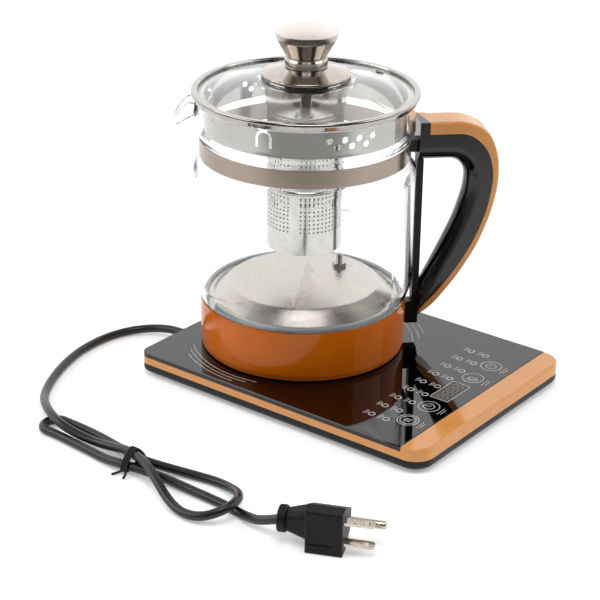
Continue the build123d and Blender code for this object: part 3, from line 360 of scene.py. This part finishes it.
def layCord():
    route = cordSet["lead"] + cordSet["hankOut"] + cordSet["hankBack"] + cordSet["tail"]
    cord = nurbsTube("mainsCord", route, cordSet["radius"], cordJacket, cordSet["roundSteps"])
    hand(cord, "base", "cord_jacket", "cord_lead", "cord_hank", "cord_tail")
    x, ring = cordSet["tieX"], cordSet["tieRing"]
    sides = len(ring)
    turns = [(x + dx, y, z) for dx, y, z in cordSet["tieStart"]]
    for i in range(sides * cordSet["tieTurns"]):
        turns.append((x + cordSet["tiePitch"] * i / sides, *ring[i % sides]))
    dx, y, z = cordSet["tieEnd"]
    turns.append((turns[-1][0] + dx, y, z))
    tieLine = nurbsTube("cordTieLine", turns, cordSet["tieRadius"], matteRubber, cordSet["tieRoundSteps"])
    tieMesh = bpy.data.meshes.new_from_object(tieLine.evaluated_get(bpy.context.evaluated_depsgraph_get()))
    bpy.data.objects.remove(tieLine)
    tieMesh.shade_smooth()
    tie = link("cordTie", tieMesh, matteRubber)
    hand(tie, "base", "tie_coat", "twist_tie")


layCord()
print("cord laid")


# CAD nodes keep their shapes and take real finishes

finishes = [
    (satinBlack, "base_tray coupler_socket cord_clamp handle_strut jug_base_cover jug_coupler cord_relief"),
    (glossBlack, "handle_grip"),
    (caramelGloss, "jug_skirt"),
    # trim and handle take the caramel copy with painted light in its colour
    (caramelPaintedLit, "trim_frame handle_cover"),
    (coatedSteel, "band_bracket"),
    (panelBlack, "glass_panel"),
    (jugGlass, "glass_jug"),
    (lidGlass, "lid_glass"),
    (mirrorSteel, "lid_rim lid_ring lid_skirt vent_eyelet infuser_basket probe_nut temp_probe knob_screw"),
    (buffedSteel, "knob_flange lid_knob"),
    (satinSteel, "knob_top"),
    (bandSteel, "neck_band"),
    (plateSteel, "heating_plate"),
    (screwSteel, "base_screws coupler_screws board_screws clamp_screws cover_screws handle_screws thermal_cutouts"),
    (pinNickel, "plug_blades plug_ground_pin"),
    (castAluminium, "heat_spreader heating_element filter_capacitors"),
    (contactBrass, "coupler_contacts jug_contacts touch_springs"),
    (greySilicone, "plate_seal"),
    (matteRubber, "rubber_feet"),
    (plugPlastic, "plug_body"),
    (cordJacket, "cord_inner"),
    (boardGreen, "control_board power_board"),
    (caseResin, "power_relay supply_coil buzzer display_module"),
    (lampResin, "indicator_lamps"),
]
for material, names in finishes:
    for name in names.split():
        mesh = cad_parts[name].data
        mesh.materials.clear()
        mesh.materials.append(material)
print("finishes on the CAD nodes")


# Panel print: key rings with plain signs, display window, seat arcs

panelSet = {
    "lift": 0.03,
    "keys": [(77.8, 41.0), (77.8, 20.0), (77.8, -28.6), (77.8, -50.6)],
    "keyRing": 6.5,
    "keyWords": [(9.2, -0.6, 4.4, 5), (11.0, -0.6, 3.2, 4)],  # x and y from the key, half length, dashes
    "line": 0.4,
    "dash": 0.4,
    "dashShare": 0.5,  # of the pitch
    "weld": 1e-4,
    "lampRows": (56.6, 67.0),
    "lampCount": 9,
    "lampPitch": 13.6,
    "lampMiddle": -3.2,
    "lampRing": 1.9,
    "lampLine": 0.55,
    "lampSteps": 24,
    "lampWords": [(-4.9, 1.0, 2.8, 4), (-3.5, 1.0, 2.2, 3)],
    "arcLine": 0.35,
    "seatArcs": [  # radius, first and last degree round the jug's axis
        (70.5, 228, 284), (73.5, 233, 279), (76.5, 238, 273), (71.0, 34, 58), (75.0, 38, 60), (79.0, 43, 60),
    ],
}
keySigns = [  # rings: x and y from the key, radius, first and last degree, steps; bars: x and y of both ends
    {"rings": [(0, 0, 3.2, 0, 360, 48)], "bars": [(-1.4, 0, 0.4, 0)]},  # power dash
    {  # bowl and ear, brim and saucer of a cup
        "rings": [(0, 0, 2.6, 180, 360, 20), (3.0, -1.0, 0.9, -90, 90, 12)],
        "bars": [(-2.6, 0.1, 2.6, 0.1), (-3.0, -3.4, 3.0, -3.4)],
    },
    {"rings": [(0, 0, 3.4, 0, 360, 48)], "bars": [(0, 0, -2.2, 0), (0, 0, 0.9, 1.5)]},  # clock face and hands
    {"rings": [(0, 0, 4.8, 0, 360, 48)], "bars": [(-2.0, dy, 2.0, dy) for dy in (-1.4, 0.0, 1.4)]},  # heat bars
]
displaySet = {
    "window": (77.0, -4.2, 12.6, 25.5),  # middle, width, length
    "frameLine": 0.4,
    "frameLift": 0.01,
    "digits": 4,
    "digitsAcross": 4.5,
    "segment": 0.6,
    "segmentLift": 0.02,
    "bars": (-3.4, 0.0, 3.4),
    "barHalf": 1.2,
    "posts": [(-1.7, -1.9), (-1.7, 1.9), (1.7, -1.9), (1.7, 1.9)],
    "postHalf": 0.8,
}


def flatRing(bm, centre, radius, line, start=0, end=360, steps=48):
    z = (topZ + panelSet["lift"]) * mm
    rows = []
    for i in range(steps + 1):
        a = radians(start + (end - start) * i / steps)
        rows.append([
            bm.verts.new(((centre[0] + r * cos(a)) * mm, (centre[1] + r * sin(a)) * mm, z))
            for r in (radius - line / 2, radius + line / 2)
        ])
    for low, high in zip(rows, rows[1:]):
        bm.faces.new((low[0], low[1], high[1], high[0]))


def flatBar(bm, a, b, line, lift=0.0):
    z = topZ + panelSet["lift"] + lift
    along = Vector((b[0] - a[0], b[1] - a[1], 0)).normalized() * line / 2
    across = Vector((-along.y, along.x, 0))
    start, end = Vector((*a, z)), Vector((*b, z))
    corners = (start - along - across, end + along - across, end + along + across, start - along + across)
    bm.faces.new([bm.verts.new(c * mm) for c in corners])


def dashRow(bm, x, middle, half, dashes):
    # A row of short dashes stands where a word would be
    pitch = 2 * half / dashes
    for i in range(dashes):
        start = middle - half + pitch * i
        flatBar(bm, (x, start), (x, start + panelSet["dashShare"] * pitch), panelSet["dash"])


def finishPrint(bm, name, material, slot):
    bmesh.ops.remove_doubles(bm, verts=bm.verts, dist=panelSet["weld"] * mm)
    for face in bm.faces:
        face.normal_update()
        if face.normal.z < 0:
            face.normal_flip()
    hand(link(name, meshFrom(bm, name), material), "base", slot)


def printKeys():
    bm = bmesh.new()
    line = panelSet["line"]
    for (x, y), sign in zip(panelSet["keys"], keySigns):
        flatRing(bm, (x, y), panelSet["keyRing"], line)
        for dx, dy, half, dashes in panelSet["keyWords"]:
            dashRow(bm, x + dx, y + dy, half, dashes)
        for dx, dy, radius, start, end, steps in sign["rings"]:
            flatRing(bm, (x + dx, y + dy), radius, line, start, end, steps)
        for dx, dy, farX, farY in sign["bars"]:
            flatBar(bm, (x + dx, y + dy), (x + farX, y + farY), line)
    for radius, start, end in panelSet["seatArcs"]:
        flatRing(bm, (jugX, 0), radius, panelSet["arcLine"], start, end)
    finishPrint(bm, "keyMarks", whiteInk, "lamp_resin")


def printWindow():
    d = displaySet
    x, y, wide, long = d["window"]
    halfWide, halfLong = wide / 2, long / 2
    bm = bmesh.new()
    flatBar(bm, (x, y - halfLong + halfWide), (x, y + halfLong - halfWide), wide)
    finishPrint(bm, "displayWindow", smokeInk, "part_case")
    bm = bmesh.new()
    for side in (-1, 1):
        sideX, sideY = x + side * halfWide, y + side * halfLong
        flatBar(bm, (sideX, y - halfLong), (sideX, y + halfLong), d["frameLine"], d["frameLift"])
        flatBar(bm, (x - halfWide, sideY), (x + halfWide, sideY), d["frameLine"], d["frameLift"])
    finishPrint(bm, "displayFrame", whiteInk, "lamp_resin")
    bm = bmesh.new()
    for i in range(d["digits"]):
        middle = y + (i - (d["digits"] - 1) / 2) * long / d["digitsAcross"]
        for dx in d["bars"]:
            low, high = (x + dx, middle - d["barHalf"]), (x + dx, middle + d["barHalf"])
            flatBar(bm, low, high, d["segment"], d["segmentLift"])
        for dx, dy in d["posts"]:
            left, right = (x + dx - d["postHalf"], middle + dy), (x + dx + d["postHalf"], middle + dy)
            flatBar(bm, left, right, d["segment"], d["segmentLift"])
    finishPrint(bm, "displaySegments", segmentInk, "part_case")


printKeys()
printWindow()
print("panel printed")


# Geometry Nodes: a grid of lamp rings, and perforated sheet rolled into the infuser's wall

def newTree(name, sockets):
    tree = bpy.data.node_groups.new(name, "GeometryNodeTree")
    tree.interface.new_socket("Geometry", in_out="INPUT", socket_type="NodeSocketGeometry")
    keys = {}
    for label, kind in sockets:
        keys[label] = tree.interface.new_socket(label, in_out="INPUT", socket_type="NodeSocket" + kind).identifier
    tree.interface.new_socket("Geometry", in_out="OUTPUT", socket_type="NodeSocketGeometry")
    return tree, keys, tree.nodes.new("NodeGroupInput").outputs, tree.nodes.new("NodeGroupOutput").inputs


def bakeTree(name, startMesh, tree, keys, values):
    piece = link(name, startMesh)
    modifier = piece.modifiers.new("build", "NODES")
    modifier.node_group = tree
    for label, value in values.items():
        modifier[keys[label]] = value
    baked = bpy.data.meshes.new_from_object(piece.evaluated_get(bpy.context.evaluated_depsgraph_get()))
    piece.modifiers.remove(modifier)
    piece.data = baked
    return piece


def lampRings():
    sockets = [("Rows apart", "Float"), ("Span", "Float"), ("Count", "Int"), ("Ring ink", "Material")]
    tree, keys, given, result = newTree("lampRingGrid", sockets)
    grid = addNode(
        tree, "GeometryNodeMeshGrid", {"Vertices X": 2},
        {"Size X": given["Rows apart"], "Size Y": given["Span"], "Vertices Y": given["Count"]},
    )
    spread = addNode(tree, "GeometryNodeInstanceOnPoints", None, {"Points": grid, "Instance": given["Geometry"]})
    solid = addNode(tree, "GeometryNodeRealizeInstances", None, {"Geometry": spread})
    inked = addNode(tree, "GeometryNodeSetMaterial", None, {"Geometry": solid, "Material": given["Ring ink"]})
    tree.links.new(inked.outputs[0], result["Geometry"])
    bm = bmesh.new()
    flatRing(bm, (0, 0), panelSet["lampRing"], panelSet["lampLine"], steps=panelSet["lampSteps"])
    for word in panelSet["lampWords"]:
        dashRow(bm, *word)
    bmesh.ops.translate(bm, verts=bm.verts, vec=(0, 0, -(topZ + panelSet["lift"]) * mm))
    low, high = panelSet["lampRows"]
    span = panelSet["lampPitch"] * (panelSet["lampCount"] - 1)
    values = {
        "Rows apart": (high - low) * mm, "Span": span * mm, "Count": panelSet["lampCount"], "Ring ink": whiteInk,
    }
    piece = bakeTree("lampMarks", meshFrom(bm, "lampMark"), tree, keys, values)
    middle = Vector(((low + high) / 2, panelSet["lampMiddle"], topZ + panelSet["lift"]))
    piece.data.transform(Matrix.Translation(middle * mm))
    hand(piece, "base", "lamp_resin")


lampRings()

infuserSet = {
    "radius": 23.5,
    "low": 83.0,
    "high": 170.4,
    "rows": 32,
    "columns": 54,
    "panel": 18,  # columns from one plain stripe to the next
    "stripe": 2,
    "plainLow": 5,
    "plainHigh": 4,
    "turn": -14.8,
    "hole": 0.6,
    "sheet": 0.6,
    "seamMm": 0.01,
    "weldMm": 0.02,
    "smoothDeg": 40,
    "crispDeg": 35,
    "collar": [(23.5, 170.4), (25.1, 172.0), (25.1, 191.6), (25.4, 192.0), (27.0, 192.1)],
    "edge": (171.5, 173.0),  # heights between which the collar's lower edge lies
    "edgeRise": 3.2,
    "edgePoints": 3,
    "edgeTurn": 52.8,
    "bead": [(23.52, 121.9), (24.0, 122.3), (24.2, 123.0), (24.0, 123.7), (23.52, 124.1)],
    "beadSteps": 96,
    "beadDeg": 60,
}


def holedCell(width, height, radius):
    # A square of sheet with a round hole, its edge points on the corners and mid-sides
    bm = bmesh.new()
    edge, rim = [], []
    for i in range(8):
        a = i * pi / 4
        far = sqrt(2) if i % 2 else 1.0
        edge.append(bm.verts.new((cos(a) * far * width / 2, sin(a) * far * height / 2, 0)))
        rim.append(bm.verts.new((cos(a) * radius, sin(a) * radius, 0)))
    for i in range(8):
        bm.faces.new((rim[i], edge[i], edge[(i + 1) % 8], rim[(i + 1) % 8]))
    return meshFrom(bm, "holedCell")


def perforatedWall():
    sockets = [
        ("Radius", "Float"), ("Turn", "Float"), ("Middle height", "Float"), ("Cell width", "Float"),
        ("Cell height", "Float"), ("Span X", "Float"), ("Span Y", "Float"), ("Columns", "Int"), ("Rows", "Int"),
        ("Panel", "Int"), ("Stripe", "Float"), ("First row", "Float"), ("Last row", "Float"), ("Seam", "Float"),
        ("Sheet metal", "Material"),
    ]
    tree, keys, given, result = newTree("perforatedWall", sockets)
    sums = "ShaderNodeMath"
    span = {"Size X": given["Span X"], "Size Y": given["Span Y"]}
    counts = {"Vertices X": given["Columns"], "Vertices Y": given["Rows"]}
    grid = addNode(tree, "GeometryNodeMeshGrid", None, {**span, **counts})
    # A grid counts up its columns, so the row and column come from the point's number
    index = addNode(tree, "GeometryNodeInputIndex")
    row = addNode(tree, sums, {"operation": "MODULO"}, {0: index, 1: given["Rows"]})
    share = addNode(tree, sums, {"operation": "DIVIDE"}, {0: index, 1: given["Rows"]})
    column = addNode(tree, sums, {"operation": "FLOOR"}, {0: share})
    inPanel = addNode(tree, sums, {"operation": "MODULO"}, {0: column, 1: given["Panel"]})
    pastStripe = addNode(tree, sums, {"operation": "GREATER_THAN"}, {0: inPanel, 1: given["Stripe"]})
    aboveFoot = addNode(tree, sums, {"operation": "GREATER_THAN"}, {0: row, 1: given["First row"]})
    underTop = addNode(tree, sums, {"operation": "LESS_THAN"}, {0: row, 1: given["Last row"]})
    between = addNode(tree, sums, {"operation": "MULTIPLY"}, {0: aboveFoot, 1: underTop})
    holed = addNode(tree, sums, {"operation": "MULTIPLY"}, {0: pastStripe, 1: between})
    plain = addNode(tree, sums, {"operation": "SUBTRACT", 0: 1.0}, {1: holed})
    cellSize = {"Size X": given["Cell width"], "Size Y": given["Cell height"]}
    plainCell = addNode(tree, "GeometryNodeMeshGrid", {"Vertices X": 3, "Vertices Y": 3}, cellSize)
    both = tree.nodes.new("GeometryNodeJoinGeometry")
    for shape, chosen in ((given["Geometry"], holed), (plainCell.outputs["Mesh"], plain)):
        onPoints = {"Points": grid, "Instance": shape, "Selection": chosen}
        laid = addNode(tree, "GeometryNodeInstanceOnPoints", None, onPoints)
        tree.links.new(laid.outputs[0], both.inputs[0])
    sheet = addNode(tree, "GeometryNodeRealizeInstances", None, {"Geometry": both})
    flat = addNode(tree, "ShaderNodeSeparateXYZ", None, {"Vector": addNode(tree, "GeometryNodeInputPosition")})
    arc = addNode(tree, sums, {"operation": "DIVIDE"}, {0: flat.outputs["X"], 1: given["Radius"]})
    angle = addNode(tree, sums, {"operation": "ADD"}, {0: arc, 1: given["Turn"]})
    cosine = addNode(tree, sums, {"operation": "COSINE"}, {0: angle})
    sine = addNode(tree, sums, {"operation": "SINE"}, {0: angle})
    outX = addNode(tree, sums, {"operation": "MULTIPLY_ADD", 2: jugX * mm}, {0: cosine, 1: given["Radius"]})
    outY = addNode(tree, sums, {"operation": "MULTIPLY"}, {0: sine, 1: given["Radius"]})
    outZ = addNode(tree, sums, {"operation": "ADD"}, {0: flat.outputs["Y"], 1: given["Middle height"]})
    rolled = addNode(tree, "ShaderNodeCombineXYZ", None, {"X": outX, "Y": outY, "Z": outZ})
    bent = addNode(tree, "GeometryNodeSetPosition", None, {"Geometry": sheet, "Position": rolled})
    seamed = addNode(tree, "GeometryNodeMergeByDistance", None, {"Geometry": bent, "Distance": given["Seam"]})
    clad = addNode(tree, "GeometryNodeSetMaterial", None, {"Geometry": seamed, "Material": given["Sheet metal"]})
    tree.links.new(clad.outputs[0], result["Geometry"])
    s = infuserSet
    wide = 2 * pi * s["radius"] / s["columns"] * mm
    tall = (s["high"] - s["low"]) / s["rows"] * mm
    values = {
        "Radius": s["radius"] * mm, "Turn": radians(s["turn"]), "Middle height": (s["low"] + s["high"]) / 2 * mm,
        "Cell width": wide, "Cell height": tall, "Span X": wide * (s["columns"] - 1), "Span Y": tall * (s["rows"] - 1),
        "Columns": s["columns"], "Rows": s["rows"], "Panel": s["panel"], "Stripe": s["stripe"] - 0.5,
        "First row": s["plainLow"] - 0.5, "Last row": s["rows"] - s["plainHigh"] - 0.5, "Seam": s["seamMm"] * mm,
        "Sheet metal": sieveSteel,
    }
    return bakeTree("infuserBasket", holedCell(wide, tall, s["hole"] * mm), tree, keys, values)


def lathe(bm, profile, steps=128, startDeg=0.0, closed=False):
    # Turns (radius, height) points in mm round the jug's axis
    rings = []
    for r, z in profile:
        count = steps if r > 1e-6 else 1
        angles = [radians(startDeg) + 2 * pi * i / steps for i in range(count)]
        rings.append([bm.verts.new(((jugX + r * cos(a)) * mm, r * sin(a) * mm, z * mm)) for a in angles])
    pairs = list(zip(rings, rings[1:])) + ([(rings[-1], rings[0])] if closed else [])
    for low, high in pairs:
        for i in range(steps):
            j = (i + 1) % steps
            corners = dict.fromkeys((low[i % len(low)], low[j % len(low)], high[j % len(high)], high[i % len(high)]))
            bm.faces.new(list(corners))


def buildInfuser():
    s = infuserSet
    basket = perforatedWall()
    bm = bmesh.new()
    bm.from_mesh(basket.data)
    steps = s["columns"] * 2
    lathe(bm, [(0, s["low"]), (s["radius"], s["low"])], steps, s["turn"])
    lathe(bm, s["collar"], steps, s["turn"])
    edgeLow, edgeHigh = s["edge"]
    for vert in bm.verts:  # the collar's lower edge rises and dips in shallow points
        if edgeLow * mm < vert.co.z < edgeHigh * mm:
            around = atan2(vert.co.y, vert.co.x - jugX * mm) + radians(s["edgeTurn"])
            vert.co.z += s["edgeRise"] * mm * abs(sin(s["edgePoints"] / 2 * around))
    bmesh.ops.remove_doubles(bm, verts=bm.verts, dist=s["weldMm"] * mm)
    bmesh.ops.recalc_face_normals(bm, faces=bm.faces)
    middle = Vector((jugX, 0, (s["low"] + s["high"]) / 2)) * mm
    if sum(face.normal.dot(face.calc_center_median() - middle) for face in bm.faces) < 0:
        bmesh.ops.reverse_faces(bm, faces=bm.faces)
    basket.data = meshFrom(bm, "infuserBasket", s["smoothDeg"])
    basket.data.materials.append(sieveSteel)
    shell = basket.modifiers.new("sheet", "SOLIDIFY")
    shell.thickness = s["sheet"] * mm
    shell.offset = -1.0
    thick = bpy.data.meshes.new_from_object(basket.evaluated_get(bpy.context.evaluated_depsgraph_get()))
    basket.modifiers.remove(shell)
    thick.set_sharp_from_angle(angle=radians(s["crispDeg"]))  # keeps each hole's edge crisp
    basket.data = thick
    hand(basket, "infuser", "polished_steel", "infuser_basket")
    bm = bmesh.new()
    lathe(bm, s["bead"], s["beadSteps"], closed=True)
    bmesh.ops.recalc_face_normals(bm, faces=bm.faces)
    bead = link("infuserBead", meshFrom(bm, "infuserBead", s["beadDeg"]), sieveSteel)
    hand(bead, "infuser", "polished_steel")


buildInfuser()
print("infuser perforated")


# Level mark on the jug

markSet = {"turn": -32.0, "height": 129.6, "long": 5.0, "tall": 0.6, "radius": 69.06, "steps": 6}


def printLevel():
    bm = bmesh.new()
    rows = []
    edges = [markSet["height"] + side * markSet["tall"] / 2 for side in (-1, 1)]
    for i in range(markSet["steps"] + 1):
        a = radians(markSet["turn"]) + markSet["long"] / markSet["radius"] * (i / markSet["steps"] - 0.5)
        x, y = jugX + markSet["radius"] * cos(a), markSet["radius"] * sin(a)
        rows.append([bm.verts.new(Vector((x, y, z)) * mm) for z in edges])
    for a, b in zip(rows, rows[1:]):
        bm.faces.new((a[0], b[0], b[1], a[1]))
    hand(link("levelMark", meshFrom(bm, "levelMark"), levelInk), "jug", "clear_glass")


printLevel()
print("level mark printed")


# Floor, surroundings and light: a bright wall behind, dim ceiling and front, a lit white floor

studioSet = {
    "floorSize": 6.0,
    "floorGlow": 0.26,
    "behind": (-0.606, 0.795, 0.0),  # level, away from the camera
    "sheetEnd": (-0.262, -0.46),  # metres along behind, where the sheet starts to fade and where it has ended
    "past": 0.38,
    "dim": 0.08,
    "bright": 1.35,
    "wall": (-0.35, 0.6),  # how far a direction points behind, from dim to bright
    "ceiling": (0.62, 0.88),  # how far it rises, from bright to the ceiling's light
    "ceilingLight": 0.3,
}


def setFloor():
    bm = bmesh.new()
    bmesh.ops.create_grid(bm, x_segments=1, y_segments=1, size=studioSet["floorSize"])
    board, tree, shader = newMaterial(
        "matte white studio board, lit from under",
        {"Roughness": 0.9, "Specular IOR Level": 0.1, "Emission Color": (1, 1, 1, 1)},
    )
    space = addNode(tree, "ShaderNodeTexCoord").outputs["Object"]
    cloud = addNode(tree, "ShaderNodeTexNoise", {"Scale": 3.0}, {"Vector": space})
    ramp = addNode(tree, "ShaderNodeValToRGB", twoTone("#f4f4f4", "#f7f7f7"), {"Fac": cloud})
    # The white sheet ends in front of the picture, so steel that faces the camera has something dark to show
    towards = {"operation": "DOT_PRODUCT", 1: studioSet["behind"]}
    back = addNode(tree, "ShaderNodeVectorMath", towards, {0: space})
    near, far = studioSet["sheetEnd"]
    fade = {"From Min": far, "From Max": near, "To Min": studioSet["past"], "To Max": 1.0}
    sheet = addNode(
        tree, "ShaderNodeMapRange", {"interpolation_type": "SMOOTHSTEP", **fade}, {"Value": back.outputs["Value"]},
    )
    white = addNode(tree, "ShaderNodeVectorMath", {"operation": "SCALE"}, {0: ramp, "Scale": sheet})
    glow = addNode(tree, "ShaderNodeMath", {"operation": "MULTIPLY", 1: studioSet["floorGlow"]}, {0: sheet})
    feed(tree, shader, {"Base Color": white, "Emission Strength": glow})
    link("studioFloor", meshFrom(bm, "studioFloor"), board)


def setWorld():
    world = bpy.data.worlds.new("studioWorld")
    world.use_nodes = True
    tree = world.node_tree
    way = addNode(tree, "ShaderNodeTexCoord").outputs["Generated"]
    towards = {"operation": "DOT_PRODUCT", 1: studioSet["behind"]}
    back = addNode(tree, "ShaderNodeVectorMath", towards, {0: way})
    dimEnd, brightEnd = studioSet["wall"]
    spread = {"From Min": dimEnd, "From Max": brightEnd, "To Min": 0.0}
    wall = addNode(
        tree, "ShaderNodeMapRange", {"interpolation_type": "SMOOTHSTEP", **spread}, {"Value": back.outputs["Value"]},
    )
    rise = addNode(tree, "ShaderNodeSeparateXYZ", None, {"Vector": way})
    low, high = studioSet["ceiling"]
    shade = {"From Min": low, "From Max": high, "To Min": studioSet["bright"], "To Max": studioSet["ceilingLight"]}
    under = addNode(
        tree, "ShaderNodeMapRange", {"interpolation_type": "SMOOTHSTEP", **shade}, {"Value": rise.outputs["Z"]},
    )
    lit = addNode(tree, "ShaderNodeMath", {"operation": "MULTIPLY_ADD", 2: studioSet["dim"]}, {0: wall, 1: under})
    tree.nodes["Background"].inputs["Color"].default_value = (1, 1, 1, 1)
    feed(tree, tree.nodes["Background"], {"Strength": lit})
    scene.world = world


softBoxes = {
    "leftBox": {"place": (-1.1, -1.15, 1.0), "target": (0, 0, 0.08), "size": (1.5, 1.0), "power": 13.0},
    "rightBox": {"place": (1.4, 0.7, 1.0), "target": (0, 0, 0.08), "size": (1.2, 1.0), "power": 9.0},
    "frontBox": {"place": (0.35, -0.45, 1.6), "target": (0, 0, 0.0), "size": (1.0, 1.0), "power": 13.0},
}


def softBox(name, place, target, size, power):
    lamp = bpy.data.lights.new(name, "AREA")
    lamp.shape = "RECTANGLE"
    lamp.size, lamp.size_y = size
    lamp.energy = power
    piece = bpy.data.objects.new(name, lamp)
    aim = Vector(target) - Vector(place)
    piece.matrix_world = Matrix.Translation(Vector(place)) @ aim.to_track_quat("-Z", "Y").to_matrix().to_4x4()
    scene.collection.objects.link(piece)


setFloor()
setWorld()
for name, box in softBoxes.items():
    softBox(name, **box)
print("studio set")
